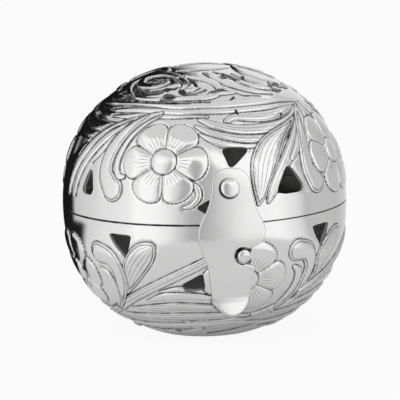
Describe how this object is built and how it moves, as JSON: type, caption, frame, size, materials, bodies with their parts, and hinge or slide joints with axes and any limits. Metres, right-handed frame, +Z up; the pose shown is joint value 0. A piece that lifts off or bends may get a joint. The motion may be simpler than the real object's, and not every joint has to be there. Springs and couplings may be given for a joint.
{
  "type": "perfume box",
  "caption": "Pierced and chased silver ball box for scent: a hinged lid on a round base, held shut by a swivel hook that catches on a stud.",
  "frame": {"origin": "middle of the flat foot that the ball stands on", "axes": "+Z up, the hook in front at -Y, the hinge behind at +Y, +X to the right as seen from the front"},
  "size_m": [0.07, 0.0756, 0.0655],
  "materials": {
    "silver_chased": "bright silver, chased, with dark oxide in the grooves",
    "silver_polished": "polished silver",
    "silver_plate": "polished silver plate with fine wear scratches",
    "silver_satin": "dull silver, left as worked"
  },
  "bodies": {
    "base": {"base_shell": "silver_chased", "bezel_ring": "silver_satin", "base_hinge_bearer": "silver_polished", "base_knuckle_left": "silver_polished", "base_knuckle_middle": "silver_polished", "base_knuckle_right": "silver_polished", "hinge_pin": "silver_polished", "catch_stud": "silver_polished"},
    "lid": {"lid_shell": "silver_chased", "lid_hinge_bearer": "silver_polished", "lid_knuckle_left": "silver_polished", "lid_knuckle_right": "silver_polished", "latch_rivet": "silver_polished", "latch_washer": "silver_polished", "rivet_rove": "silver_satin"},
    "latch": {"latch_lever": "silver_plate"}
  },
  "joints": [
    {"name": "lid_hinge", "type": "hinge", "parent": "base", "child": "lid", "pos_m": [0, 0.0361, 0.032], "axis": [-1, 0, 0], "range_deg": [0, 105]},
    {"name": "latch_swivel", "type": "hinge", "parent": "lid", "child": "latch", "pos_m": [0, -0.03556, 0.04089], "axis": [0, 0.9701, -0.2426], "range_deg": [0, 90]}
  ]
}
